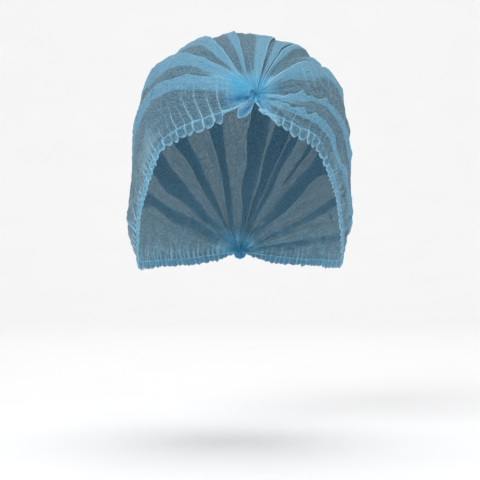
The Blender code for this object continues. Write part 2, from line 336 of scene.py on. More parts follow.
# Scallops of the hems
HEM_FIRST_TURN = {"left": 0.020, "right": 0.026}
HEM_LAST_TURN = 0.982
HEM_SEED = {"left": 31, "right": 57}
HEM_FADE = 0.08
HEM_BASE_HEIGHT = 0.0008
HEM_SWELL = (0.12, 0.94)
HEM_SWELL_BLUNTNESS = 0.6
HEM_BACK_SHARE = 0.15
SCALLOP_FIRST_TURN = {"left": 0.068, "right": 0.056}
SCALLOP_FADE = 0.02
LOBE_BLUNTNESS = (0.36, 0.60)
LOBE_UNEVENNESS = 0.26
DEPTH_WAVE = 0.16
SIDE_NOTCH = 0.30
FRONT_NOTCH = 0.50
LEAST_THICKNESS = 0.0004
NOTCH_THICKNESS_SHARE = 0.2
SIDE_THICKNESS = 0.0013
FRONT_THICKNESS = 0.0022
LOBE_WAG = 0.0011
LOBE_SLANT = 0.0008
HEM_WAVE = 0.0009
ROPE_TWIST = 0.0006
ROPE_TURNS = 5.1
STRANDS_PER_FOLD = 3.6
STRANDS_PER_COLUMN = 0.5
ROPE_LINES = (0.15, 0.75)
LINE_STRENGTH = 0.9
SIDE_LINE_SHARE = 0.6
SCALLOP_TONE_FALL = 0.6
NOTCH_LINE_WIDTH = 0.085
ROWS_PER_FOLD = 14

# Beads of the elastic threads
THREAD_SIDES = 10
BEAD_SIZE = 0.92
BEAD_UNEVENNESS = 0.34
BEAD_PER_FOLD = 0.10
THREAD_SWAY = 0.0004

# Knots at the welds: places as shares of the weld's radius, and heights in metres
KNOT_GRID = (40, 220)
KNOT_EDGE = 1.12
KNOT_EDGE_FADE = 0.16
KNOT_EDGE_FALL = 0.0003
KNOT_SPOKE_START = 0.5
KNOT_SPOKE_LINE = 0.9
KNOT_SPOKE_FLOOR = 0.3
KNOT_FLOOR = 0.0004
PRESSED_SIZE = 0.28
PRESSED_FADE = 0.2
PRESSED_DEPTH = 0.0007
PRESSED_LINE = 0.6
DOT_WAVES = 19
DOT_DEPTH = 0.0004
# Painted shade in the embossed dots
DOT_SHADE = 0.32
DOT_LINE_FALL = 1.5
HOOK_PLACE = (0.15, -0.2)
HOOK_RADIUS = 0.62
HOOK_WIDTH = 0.13
HOOK_FADE = 1.1
HOOK_HEIGHT = 0.0010
HOOK_LINE = 0.5
LUMP_HEIGHT = 0.0012
SMALL_LUMP_HEIGHT = 0.0005

# Outline, relief and painted shade of the tab, with places along it and across it as shares
TAB_GRID = (34, 26)
TAB_OPEN_PLACE = 0.78
TAB_CLOSING_PLACE = 0.72
TAB_CLOSING = 0.45
TAB_TIP_BOW = 0.10
TAB_ROOT_PLACE = 0.35
TAB_RIM_PLACE = 0.86
TAB_RIM_WIDTH = 0.14
TAB_TIP_RIM_PLACE = 0.96
TAB_TIP_RIM_WIDTH = 0.06
TAB_CREASE_SWAY = 0.15
TAB_CREASE_WIDTH = 0.16
TAB_EDGE_LINE = (0.78, 0.2)
TAB_TIP_LINE = (0.9, 0.1)
TAB_SHADE_PLACE = 0.05
TAB_SHADE_WIDTH = 0.55
TAB_HEIGHT = 0.0008
TAB_ROOT_RISE_SHARE = 0.6
TAB_ARCH = 0.0012
TAB_RIM = 0.0011
TAB_TIP_RIM = 0.0008
TAB_CREASE = 0.0012
TAB_CREASE_LINE = 0.48
TAB_CRUMPLE = 0.0004

# Colours, linear
# The panels' colour is the cloth's own blue darkened with painted shade, for the dim inside seen through one
# layer of cloth
SHADED_PANEL_COLOR = (0.007, 0.046, 0.086, 1)
BAND_COLOR = (0.080, 0.284, 0.450, 1)
DENSE_COLOR = (0.066, 0.375, 0.630, 1)
GLOW_COLOR = (0.200, 0.640, 0.900, 1)
# Colour of painted shade, for the pockets under the puffed folds, the hollow of the tab and the embossed
# dots of the knots
PAINTED_SHADE_COLOR = (0.006, 0.110, 0.290, 1)
LINE_COLOR = (0.430, 0.770, 0.940, 1)
THREAD_COLOR = (0.10, 0.40, 0.60, 1)
THREAD_LIGHT_COLOR = (0.34, 0.70, 0.88, 1)
STAGE_COLOR = (0.90, 0.90, 0.905, 1)
STAGE_LIGHT_COLOR = (0.93, 0.93, 0.93, 1)

WEB = (
    # direction, waves per metre across and along the fibres, width
    (0.3, 1500, 130, 0.050),
    (1.25, 1700, 170, 0.050),
    (2.2, 1350, 120, 0.045),
    (2.9, 2100, 300, 0.060),
    (1.75, 640, 70, 0.026),
    (0.75, 560, 90, 0.022),
)

# Share of the light that one layer of cloth stops, what its uneven parts change in it, and how fine they are
CROWN_COVER = 0.87
HEM_COVER = 0.50
WELD_COVER = 0.55
COVER_SINK = 0.14
CLOUD_SCALE = 330
SPECKLE_SCALE = 640
BOND_SCALE = 900
CLOUD_STEP = (0.36, 0.64)
SPECKLE_STEP = (0.34, 0.66)
FLECK_STEP = (0.48, 0.62)
BOND_STEP = (0.18, 0.32)
BOND_UNEVENNESS = 0.25
CLOUD_COVER = 0.10
SPECKLE_COVER = 0.12
WEB_COVER = 0.24
BOND_COVER = -0.06
PINCH_LAYERS = 2.2

# Layers or tones from which and up to which a colour takes over, and the most that it takes
BAND_LAYERS = (1.3, 4.0)
DENSE_LAYERS = (1.6, 11.0)
GLOW_LAYERS = (5.5, 10.0)
LINE_TONES = (1.02, 1.35)
LINE_SHARE = 0.8
SHADE_SHARE = 0.8
FIBRE_SHARE = 0.22
THROUGH_SHARE = 0.22
THROUGH_GLOW_SHARE = 0.22

# Surface of the cloth and of the threads
ROUGHNESS = 0.66
BOND_ROUGHNESS = -0.18
SPECKLE_ROUGHNESS = 0.1
WEB_RELIEF = 0.5
BOND_RELIEF = -0.5
CLOTH_RELIEF = 0.45
THREAD_RELIEF = 0.5
THREAD_SCALE = 420
THREAD_STEP = (0.35, 0.65)
RELIEF_DEPTH = 0.0003

# Photograph's frame
PHOTO_SIDE_PX = 480
PHOTO_M_PER_PX = 0.00082
CAMERA_DISTANCE = 1.25
CAMERA_HEIGHT = -0.1665
SENSOR_MM = 36

# Stage, lights and render
TRANSPARENT_BOUNCES = 24
FLOOR_HEIGHT = -0.330
FLOOR_RADII = (0.00001, 0.5, 1.2)
STAGE_RADIUS = 3.0
STAGE_CURVE = 1.3
STAGE_WALL = 2.6
STAGE_CURVE_ROWS = 28
STAGE_COLUMNS = 96
WORLD_STRENGTH = 0.40
LIGHTS = (
    # name, place, aim, size, power
    ("key", (-0.85, -1.65, 1.2), (0, 0, -0.1), 1.2, 23),
    ("fill", (1.4, -1.5, 0.2), (0, 0, -0.1), 1.4, 8),
    ("top", (0.1, 0.3, 2.1), (0, 0, -0.1), 2.2, 22),
    ("wall", (0.0, 1.2, 1.6), (0, 3, 0.2), 1.6, 8),
)


def ease(value):
    """A smooth way from 0 to 1."""
    value = np.clip(value, 0, 1)
    return value * value * (3 - 2 * value)


def step(value, start, width):
    """0 up to the start, and 1 from a width past it."""
    return ease((value - start) / width)


def bell(value, centre, reach):
    """1 at the centre, fading to nothing on both sides."""
    return np.exp(-(((value - centre) / reach) ** 2))


def blend(a, b, share):
    return a + (b - a) * share


def running(steps):
    """The way so far at each end of a row of steps."""
    return np.concatenate(([0], np.cumsum(steps)))


def unit(vector):
    return vector / np.linalg.norm(vector, axis=-1, keepdims=True)


def hashed(number, seed):
    """A repeatable number from 0 to 1 for each whole number."""
    wave = np.sin(np.asarray(number, float) * HASH_WAVES[0] + seed * HASH_WAVES[1]) * HASH_SIZE
    return wave - np.floor(wave)


def field(u, v, seed):
    """Soft noise from -1 to 1 over two coordinates of any shape."""
    u, v = np.broadcast_arrays(u, v)
    flat = [noise.noise(Vector((a, b, seed))) for a, b in zip(u.ravel(), v.ravel())]
    return np.array(flat).reshape(u.shape)


def ridged(u, v, seed):
    """Noise from 0 to 1 with sharp crests."""
    return np.clip(1 - CREST_SHARPNESS * np.abs(field(u, v, seed)), 0, 1) ** 2


def smooth(rows, column, turn):
    """A table's column at a turn, on a smooth curve through its rows."""
    table = np.array(rows, float)
    x, y = table[:, 0], table[:, column]
    slope = np.gradient(y, x)
    place = np.clip(np.searchsorted(x, turn) - 1, 0, len(x) - 2)
    gap = x[place + 1] - x[place]
    u = np.clip((turn - x[place]) / gap, 0, 1)
    start = (1 + 2 * u) * (1 - u) ** 2 * y[place] + u * (1 - u) ** 2 * gap * slope[place]
    return start + u * u * (3 - 2 * u) * y[place + 1] + u * u * (u - 1) * gap * slope[place + 1]


def taper(drop, depth):
    """Share of its full reach that the inner form keeps at a drop below its widest part."""
    return np.clip(1 - np.clip(drop / depth, 0, 1) ** TAPER_SQUARENESS, 1e-6, 1) ** (1 / TAPER_SQUARENESS)


def fill(point):
    """Below 1 inside the cap's inner form, 1 on it and more outside."""
    x, y, z = point[..., 0], point[..., 1], point[..., 2]
    rise = np.clip(z + CROWN_HEIGHT, 0, None) / CROWN_HEIGHT
    drop = np.clip(-CROWN_HEIGHT - z, 0, None)
    from_ear = ((y - EAR_SETBACK) / EAR_LENGTH) ** 2 + ((z + EAR_DROP) / EAR_LENGTH) ** 2
    width = HALF_WIDTH * taper(drop, SIDE_TAPER_DEPTH) + EAR_BULGE * np.exp(-from_ear)
    back = BACK_REACH * taper(drop, BACK_TAPER_DEPTH)
    front = FRONT_REACH * taper(drop, FRONT_TAPER_DEPTH)
    reach = np.where(y > 0, back, front)
    return ((x / width) ** 2 + (y / reach) ** 2) ** (CROWN_SQUARENESS / 2) + rise**CROWN_SQUARENESS


def to_skin(start, direction):
    """Where a line from inside meets the inner form, found by halving."""
    near = np.zeros(direction.shape[:-1])
    far = np.full(direction.shape[:-1], 2 * (FRONT_REACH + BACK_REACH))
    for _ in range(HALVINGS):
        middle = (near + far) / 2
        within = fill(start + direction * middle[..., None]) < 1
        near = np.where(within, middle, near)
        far = np.where(within, far, middle)
    return start + direction * near[..., None]


def outward(point):
    """Direction away from the inner form at a point."""
    slope = [fill(point + axis) - fill(point - axis) for axis in np.eye(3) * SLOPE_STEP]
    return unit(np.stack(slope, -1))


FRONT = to_skin(np.array((FRONT_WELD_SIDE, 0, -FRONT_WELD_DROP)), np.array((0, -1.0, 0)))
REAR = to_skin(np.array((0, 0, -REAR_WELD_DROP)), np.array((0, 1.0, 0)))
CENTRE = (FRONT + REAR) / 2
WELD_SPAN = np.linalg.norm(FRONT - REAR)
ALONG = unit(FRONT - REAR)
ACROSS = unit(np.array((1.0, 0, 0)) - ALONG * ALONG[0])
UP = np.cross(ALONG, ACROSS)


def skin_point(turn, angle):
    """A point of the inner form by its turn from weld to weld and its angle from the top, in degrees."""
    swing = np.radians(np.asarray(angle, float))[..., None]
    roll = np.pi * np.asarray(turn, float)[..., None]
    sideways = np.sin(swing) * ACROSS + np.cos(swing) * UP
    return to_skin(CENTRE, np.cos(roll) * ALONG + np.sin(roll) * sideways)


def turn_at(distance):
    return distance / (np.pi * WELD_SPAN / 2)


def weld_distance(turn):
    """Way from a turn to the nearer weld, in metres."""
    return np.minimum(turn, 1 - turn) * np.pi * WELD_SPAN / 2


def arm_of(point):
    """Distance of a point from the line between the welds."""
    return np.linalg.norm(np.cross(point - CENTRE, ALONG), axis=-1)


def rim_angle(side, turn):
    return SIDES[side] * smooth(RIM, COLUMN[side], turn)


def rim_frame(side, turn):
    """Points of the rim with their directions along it, out of the form and away from the crown."""
    ahead_turn = turn + RIM_STEP_TURN
    point = skin_point(turn, rim_angle(side, turn))
    ahead = skin_point(ahead_turn, rim_angle(side, ahead_turn))
    along = unit(ahead - point)
    out = outward(point)
    away = unit(np.cross(along, out)) * SIDES[side]
    return point, along, out, away


def crown_edge(side, turn):
    """Angle of the crown's edge, a little above the middle of the elastic."""
    point, along, _, _ = rim_frame(side, turn)
    round_line = unit(np.cross(ALONG, point - CENTRE))
    slant = np.sum(along * round_line, -1)
    inset = ELASTIC_RADIUS / 4 / np.sqrt(1 - slant**2)
    return rim_angle(side, turn) - SIDES[side] * np.degrees(inset / arm_of(point))


def gather_turns():
    """Turns of the small folds that the elastics gather, wide in front and narrow at the sides."""
    start = turn_at(WELD_RADIUS + CLEARANCE)
    fine = np.linspace(start, 1 - start, FINE_STEPS)
    length = np.zeros_like(fine)
    for side in SIDES:
        point = skin_point(fine, rim_angle(side, fine))
        length[1:] += np.cumsum(np.linalg.norm(np.diff(point, axis=0), axis=1)) / 2
    pitch = blend(FRONT_PITCH, SIDE_PITCH, ease((fine - FRONT_ENDS_TURN + PITCH_FADE / 2) / PITCH_FADE))
    count = running(np.diff(length) / pitch[1:])
    count *= round(count[-1]) / count[-1]
    from_end = np.minimum(count, count[-1] - count)
    uneven = UNEVEN_PITCH * field(count * 0.71, 0 * count, 21.0) * np.minimum(1, from_end)
    return fine, np.maximum.accumulate(count + uneven)


FINE_TURNS, FINE_COUNT = gather_turns()
FOLDS = int(round(FINE_COUNT[-1]))


def phase_of(turn):
    """How many gathered folds lie between the front weld and a turn."""
    return np.interp(turn, FINE_TURNS, FINE_COUNT)


def turn_of(phase):
    """The turn that so many gathered folds reach."""
    return np.interp(phase, FINE_COUNT, FINE_TURNS)


def row_turns():
    """Turns of the crown's rows, on and between the gathered folds."""
    phases = []
    for fold in range(FOLDS):
        parts = FRONT_ROWS if turn_of(fold) < FRONT_ENDS_TURN else SIDE_ROWS
        phases += [fold + part for part in parts]
    return turn_of(phases + [FOLDS])


def fan(near, far, turn):
    """A place across the crown that goes from its near to its far share as a pleat leaves a weld."""
    return far + (near - far) * np.exp(-turn / FAN_TURN)


def pleat_columns(pleat, turn, metres):
    """Shares, lifts and tones across a pleat for every row, from its far side over its edge and back."""
    near_edge, far_edge, near_band, far_band, lift, first, folded, wobble = pleat
    none = 0 * turn
    close = np.minimum(turn, 1 - turn)
    wander = sum(top * field(turn * waves, far_edge * 40, seed) for top, waves, seed in WANDER)
    drift = wobble * ease(close / WANDER_TURN) * wander
    edge = fan(near_edge, far_edge, close) + drift
    for far, at_turn, shift, reach in KINKS:
        if far == far_edge:
            edge = edge + shift * bell(turn, at_turn, reach)
    band = fan(near_band, far_band, close) + drift * BAND_WANDER_SHARE
    swell = BAND_SWELL * field(turn * 9, far_edge * 31, 6.0) * ease(close / BAND_SWELL_TURN)
    width = (band - edge) * (1 + swell)
    begin = ease((close - first) / FAN_TURN) if first else 1
    inner = fan(1.0, folded, close) * begin
    high = PLEAT_LIFT * lift * np.sin(np.pi * turn) ** LIFT_GROWTH * begin
    high = high * (1 + LIFT_SWELL * field(turn * 13, far_edge * 23, 9.0))
    out = math.copysign(1, far_edge - far_band)

    columns = []
    for u in np.linspace(1, 0, TOP_COLUMNS):
        top = high * np.cos(u * np.pi / 2) + 2 * LAYER_STEP
        columns.append((edge + width * u, top, np.clip((inner - u) / TONE_FADE + 0.5, 0, 1)))
    crest, under = high + 2 * LAYER_STEP, MIDDLE_SHARE * high + LAYER_STEP
    half = (crest - under) / 2
    for bend in np.radians(FOLD_BENDS):
        bulge = out * np.minimum(half, FOLD_BULGE) * np.cos(bend) / metres
        columns.append((edge + bulge, (crest + under) / 2 + half * np.sin(bend), EDGE_TONE * begin + none))
    for u in INNER_COLUMNS:
        inside = under * np.cos(u * np.pi / 2) + LAYER_STEP * u
        columns.append((edge + width * inner * u, inside, MIDDLE_TONE * begin + none))
    back = edge + width * inner * BACK_FOLD_SHARE
    columns.append((back, LAYER_STEP / 2 + none, BACK_FOLD_TONE * begin + none))
    for u in INNER_COLUMNS[::-1]:
        columns.append((edge + width * inner * u, none, LOWEST_TONE * begin + none))
    return columns if out > 0 else columns[::-1]


def crown_columns(turn, metres):
    """All columns across the crown, with the flat stretches between the pleats."""
    none = 0 * turn
    pleats = [pleat_columns(pleat, turn, metres) for pleat in sorted(PLEATS, key=lambda row: row[1])]
    columns = [(none - 1, none, none)]
    for group in pleats + [[(none + 1, none, none)]]:
        start, end = columns[-1], group[0]
        count = max(2, math.ceil(np.abs(end[0] - start[0]).max() / FLAT_SPACING_SHARE))
        for k in range(1, count):
            share = start[0] + (end[0] - start[0]) * k / count
            lift = start[1] * (1 - ease(3 * k / count)) + end[1] * (1 - ease(3 * (1 - k / count)))
            columns.append((share, lift, none))
        columns += group
    return [np.array(part).T for part in zip(*columns)]


def puff_height(share, turn):
    """Height of the puffs and hollows of the crown, as a share of the pleat lift."""
    height = np.zeros(np.broadcast(share, turn).shape)
    for at_turn, at_share, top, turn_reach, share_reach in PUFFS:
        height += top * bell(turn, at_turn, turn_reach) * bell(share, at_share, share_reach)
    return height


def bunch_relief(turn, angle):
    """Height, painted shade and further layers of the puffs and pockets beside the front weld."""
    height, shade, layers = 0 * angle, 0 * angle, 0 * angle
    for at_turn, at_angle, top, turn_reach, angle_reach, depth, more in BUNCHES:
        shape = bell(turn, at_turn, turn_reach) * bell(angle, at_angle, angle_reach)
        height = height + top * shape
        shade = np.maximum(shade, depth * shape)
        layers = layers + more * shape
    return height, shade, layers


def wrinkle_height(share, turn):
    """Height of the strained creases and of the soft crumples."""
    height = 0 * share
    for top, kind, across, slant, along, seed in WRINKLES:
        waves = ridged if kind == "sharp" else field
        height = height + top * waves(share * across + turn * slant, turn * along, seed)
    return height


def gather_relief(side, phase, distance, arm, turn):
    """Height and strength of the folds that run up from an elastic."""
    seed, least, most, above_share = GATHERS[side]
    fold = np.round(phase)
    front = 1 - step(turn, FRONT_ENDS_TURN + GATHER_FADE_LAG, GATHER_FADE)
    shortest, longest = (blend(*pair, front) for pair in zip(SIDE_LENGTHS, FRONT_LENGTHS))
    length = blend(SIDE_GATHER_LENGTH, FRONT_GATHER_LENGTH, front)
    length = length * blend(shortest, longest, hashed(fold, seed))
    fade = (1 - ease(distance / length)) * blend(least, most, hashed(fold, seed + 2))
    low, high = (step(distance / arm, height, UPPER_FADE) for height in UPPER_LINES)
    above = low * (1 - high) * step(turn, UPPER_FIRST_TURN, UPPER_FIRST_FADE) * front
    fade = np.maximum(fade, above_share * above * (hashed(fold, seed + 3) > UPPER_SKIPPED_SHARE))
    ridge = bell(phase, fold, RIDGE_WIDTH) * fade
    puff = np.sin(np.pi * phase) ** 2 * (1 - ease(distance / (PUFF_REACH_SHARE * FRONT_GATHER_LENGTH)))
    return blend(SIDE_GATHER_SIZE, 1, front) * (GATHER_PUFF * puff + GATHER_RIDGE * ridge), ridge


def gather_lean(share, turn, phase, distance):
    """How far the cloth above the rims leans along the crown with its gathers, in turns."""
    up = FRONT_GATHER_LENGTH * ease(distance / FRONT_GATHER_LENGTH) * (1 - ease(distance / LEAN_REACH))
    lean = GATHER_LEAN * (0.5 - turn)
    for strength, per_fold, per_metre, side_step, seed in LEAN_WAVES:
        height = distance * per_metre + np.sign(share) * side_step
        lean = lean + strength * field(phase * per_fold, height, seed)
    lean = lean + np.where(share < 0, LEFT_LEAN * bell(turn, LEFT_LEAN_TURN, LEFT_LEAN_REACH), 0)
    return turn_at(lean * up * np.sin(np.pi * turn))


def spokes(angle):
    """Ridges round a knot by angle in degrees, from 0 to 1."""
    swing = np.radians(angle)
    return ridged(SPOKE_WAVES * np.cos(swing), SPOKE_WAVES * np.sin(swing), 12.0)


def knot_rise(distance, at_rear):
    """How far the cloth bunched at a weld lifts what is round it, less behind than in front."""
    return KNOT_RISE * bell(distance, 0, KNOT_REACH) * np.where(at_rear, REAR_SHARE, 1)


def knot_height(distance, angle, at_rear):
    """Height over the skin of the cloth bunched at a weld, with its spokes."""
    spoke = SPOKE_HEIGHT * spokes(angle) * np.exp(-(distance - WELD_RADIUS) / SPOKE_REACH)
    return knot_rise(distance, at_rear) + spoke


def rim_rise(turn):
    return knot_rise(weld_distance(turn), turn > 0.5)


def crowded_layers(points, turn, angle):
    """Widths of the cloth between the columns, and layers at each point where they are pushed together."""
    gap = np.linalg.norm(np.diff(points, axis=1), axis=-1)
    cloth = np.percentile(gap, CLOTH_PERCENTILE, axis=0)
    crowd = np.clip(cloth / np.maximum(gap, 1e-6), 1, MOST_LAYERS)
    layers = np.concatenate((crowd[:, :1], (crowd[:, 1:] + crowd[:, :-1]) / 2, crowd[:, -1:]), 1)
    reach = CROWDED_TURN + sum(more * bell(angle, at_angle, wide) for at_angle, more, wide in CROWDED_SIDES)
    return cloth, 1 + (layers - 1) * bell(np.minimum(turn, 1 - turn), 0, reach)


def flat_values(points):
    """Flat coordinates of a small piece, from the lengths of its own rows and columns."""
    across = np.linalg.norm(np.diff(points, axis=1), axis=-1).mean(0)
    along = np.linalg.norm(np.diff(points, axis=0), axis=-1).mean(1)
    return np.stack(np.meshgrid(running(across), running(along)), -1)


def grid_object(name, points, material, attributes=(), uv=None, closed=False):
    """A smooth mesh over a grid of points, rows by columns, closed round its columns if asked."""
    rows, columns = points.shape[:2]
    index = np.arange(rows * columns).reshape(rows, columns)
    right = np.roll(index, -1, 1) if closed else index[:, 1:]
    left = index if closed else index[:, :-1]
    faces = np.stack((left[:-1], right[:-1], right[1:], left[1:]), -1).reshape(-1, 4)
    mesh = bpy.data.meshes.new(name)
    mesh.from_pydata(points.reshape(-1, 3).tolist(), [], faces.tolist())
    mesh.shade_smooth()
    for label, values in attributes:
        layer = mesh.attributes.new(label, "FLOAT", "POINT")
        layer.data.foreach_set("value", np.broadcast_to(values, (rows, columns)).ravel().astype(np.float32))
    if uv is not None:
        layer = mesh.uv_layers.new(name="flat")
        corner = np.empty(len(mesh.loops), np.int32)
        mesh.loops.foreach_get("vertex_index", corner)
        layer.data.foreach_set("uv", uv.reshape(-1, 2)[corner].ravel().astype(np.float32))
    mesh.materials.append(material)
    thing = bpy.data.objects.new(name, mesh)
    bpy.context.collection.objects.link(thing)
    return thing


def close_ends(mesh, shape):
    """Caps the two ends of a tube of rings."""
    rows, columns = shape[:2]
    verts = [tuple(v.co) for v in mesh.vertices]
    faces = [tuple(p.vertices) for p in mesh.polygons]
    faces.append(tuple(range(columns))[::-1])
    faces.append(tuple(range((rows - 1) * columns, rows * columns)))
    mesh.clear_geometry()
    mesh.from_pydata(verts, [], faces)
    mesh.shade_smooth()


def make_crown(material):
    """The whole crown as one sheet, folded into pleats and gathered at its rims and welds."""
    tuck = turn_at(TUCK_RADIUS)
    turn = np.concatenate(([tuck], row_turns(), [1 - tuck]))
    left, right = crown_edge("left", turn), crown_edge("right", turn)
    middle = skin_point(turn, 0 * turn)
    arm = arm_of(middle)[:, None]
    share, lift, tone = crown_columns(turn, arm_of(middle) * np.radians((right - left) / 2))
    rows = turn[:, None]
    span = np.where(share < 0, -left[:, None], right[:, None])
    angle = share * span
    distance = (1 - np.abs(share)) * np.radians(span) * arm
    phase = phase_of(turn)[:, None] + 0 * share
    close, from_weld = np.minimum(rows, 1 - rows), weld_distance(rows)

    reliefs = [gather_relief(side, phase, distance, arm, rows) for side in ("left", "right")]
    gather, ridge = (np.where(share < 0, *pair) for pair in zip(*reliefs))
    bunched, shade, layers = bunch_relief(rows, angle)
    low_down = (1 - ease(distance / PUCKER_REACH)) * step(rows, PUCKER_FIRST_TURN, PUCKER_FADE)
    low_down = low_down * ease(distance / RIM_REACH)
    pucker = ridged(phase * PUCKERS_PER_FOLD, distance * PUCKERS_PER_METRE + np.sign(share), 8.0)
    pucker = pucker * low_down
    height = BASE_HEIGHT + lift + PLEAT_LIFT * puff_height(share, rows) + gather + PUCKER_HEIGHT * pucker
    height = height + bunched * ease(distance / RIM_REACH) + knot_height(from_weld, angle, rows > 0.5)
    calm = ease(close / CALM_TURN) * ease(distance / CALM_REACH)
    height = height + calm * (wrinkle_height(share, rows) - WRINKLE_SINK)
    height = np.maximum(height, LEAST_HEIGHT + lift * LEAST_LIFT_SHARE)
    height = height - TUCK_DEPTH * ease((WELD_RADIUS - from_weld) / TUCK_WIDTH)

    shifted = np.clip(rows + gather_lean(share, rows, phase, distance), rows[0], rows[-1])
    skin = skin_point(shifted, angle)
    points = skin + outward(skin) * height[..., None]
    cloth, crowding = crowded_layers(points, rows, angle)
    crowding = crowding + layers + RIM_LAYERS * ease(1 - distance / RIM_LAYERS_REACH)
    crowding = crowding + KNOT_LAYERS * bell(from_weld, 0, KNOT_LAYERS_REACH)
    spoke = SPOKE_LINE * (spokes(angle) - SPOKE_LINE_FLOOR) * np.exp(-from_weld / SPOKE_LINE_REACH)
    pinch = np.maximum(np.maximum(ridge, spoke), PUCKER_LINE * pucker)
    pinch = np.clip(pinch, 0, 1) * (1 - shade)

    along = np.linalg.norm(np.diff(middle, axis=0), axis=-1)
    flat = np.stack(np.meshgrid(running(cloth), running(along)), -1)
    values = (("crowding", crowding), ("pinch", pinch), ("band", tone), ("shade", shade))
    thing = grid_object("crown_cloth", points, material, values, flat)
    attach(thing, "root")
    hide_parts("crown")
    return thing


def make_hem(side, material):
    """The doubled edge past the elastic: out over its front, round its lower fold and back up behind."""
    seed = HEM_SEED[side]
    first, last = phase_of(np.array((HEM_FIRST_TURN[side], HEM_LAST_TURN)))
    place = np.arange(first, last, 1 / ROWS_PER_FOLD)
    turn = turn_of(place)
    point, along, _, away = rim_frame(side, turn)
    fold = np.floor(place)
    front = 1 - ease((turn - FRONT_ENDS_TURN + HEM_FADE / 2) / HEM_FADE)
    begin = step(turn, SCALLOP_FIRST_TURN[side], SCALLOP_FADE)
    lobe = np.abs(np.sin(np.pi * place)) ** blend(*LOBE_BLUNTNESS, hashed(fold, seed))
    uneven = LOBE_UNEVENNESS * (hashed(fold, seed + 1) - 0.5) * lobe * begin
    depth = 1 + uneven + DEPTH_WAVE * field(place * 1.7, 0 * place, seed)
    depth = HEM_DEPTH * smooth(HEM, COLUMN[side], turn) * depth
    depth = depth * (1 - blend(SIDE_NOTCH, FRONT_NOTCH, front) * begin * (1 - lobe))
    thick = blend(SIDE_THICKNESS, FRONT_THICKNESS, front) * blend(NOTCH_THICKNESS_SHARE, 1, lobe)
    thick = LEAST_THICKNESS + thick
    tilt = (hashed(fold, seed + 2) - 0.5) * 2 * lobe * begin
    twist = (1 - begin) * np.sin(place * ROPE_TURNS)

    columns = []
    for share, face, _ in HEM_ROUTE:
        swell = np.sin(np.pi * blend(*HEM_SWELL, share)) ** HEM_SWELL_BLUNTNESS
        reach = share * depth - ELASTIC_RADIUS / 4
        skin = to_skin(CENTRE, unit(point + away * reach[:, None] - CENTRE))
        wave = HEM_WAVE * field(place * 2.3, share + 0 * place, seed + 4)
        wag = share * (LOBE_WAG * tilt * (place - fold - 0.5) * 2 + wave)
        rise = HEM_BASE_HEIGHT + thick * (face * swell - HEM_BACK_SHARE) + wag + rim_rise(turn)
        rise = np.maximum(rise + ROPE_TWIST * twist * (share - 0.5), BASE_HEIGHT)
        slant = LOBE_SLANT * tilt * share
        columns.append(skin + outward(skin) * rise[:, None] + along * slant[:, None])
    points = np.stack(columns, 1)

    notch = bell(place, np.round(place), NOTCH_LINE_WIDTH) * begin
    outline = np.array([line for _, _, line in HEM_ROUTE])
    pinch = np.maximum(notch[:, None], outline * blend(SIDE_LINE_SHARE, 1, front)[:, None])
    strands = place[:, None] * STRANDS_PER_FOLD + np.arange(len(HEM_ROUTE)) * STRANDS_PER_COLUMN
    rope = blend(*ROPE_LINES, np.abs(np.sin(strands)))
    pinch = np.maximum(pinch, (1 - begin)[:, None] * rope)
    crowding = 1 + HEM_BARE_LAYERS[side] * (1 - begin) + HEM_SIDE_LAYERS * (1 - front)
    # Front scallops take less band tone and so keep more of the panels' painted shade
    tone = 1 - SCALLOP_TONE_FALL * front * begin
    values = (
        ("crowding", crowding[:, None]),
        ("pinch", LINE_STRENGTH * pinch),
        ("band", tone[:, None]),
        ("shade", 0.0),
    )
    thing = grid_object("hem_ruffle_" + side, points, material, values, flat_values(points))
    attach(thing, "root")
    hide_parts("hem_" + side)
    return thing


def make_elastic(side, material):
    """Elastic thread with the cloth bunched over it in small beads."""
    start = turn_at(WELD_RADIUS + CLEARANCE)
    first, last = phase_of(np.array((start, 1 - start)))
    phase = np.linspace(first, last, int((last - first) * ROWS_PER_FOLD))
    turn = turn_of(phase)
    point, _, out, away = rim_frame(side, turn)
    beads = BEAD_SIZE + BEAD_UNEVENNESS * field(phase * 4.3, 0 * phase, 3.0)
    beads = beads + BEAD_PER_FOLD * np.cos(2 * np.pi * phase)
    sway = THREAD_SWAY * field(phase * 1.3, 0 * phase, 6.0)[:, None] * away
    centre = point + out * (ELASTIC_RADIUS + CLEARANCE + rim_rise(turn))[:, None] + sway
    rings = []
    for angle in np.linspace(0, 2 * np.pi, THREAD_SIDES, endpoint=False):
        spoke = math.cos(angle) * out + math.sin(angle) * away
        rings.append(centre + ELASTIC_RADIUS * beads[:, None] * spoke)
    points = np.stack(rings, 1)
    thing = grid_object("elastic_thread_" + side, points, material, closed=True)
    close_ends(thing.data, points.shape)
    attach(thing, "root")
    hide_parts("elastic_" + side)
    return thing


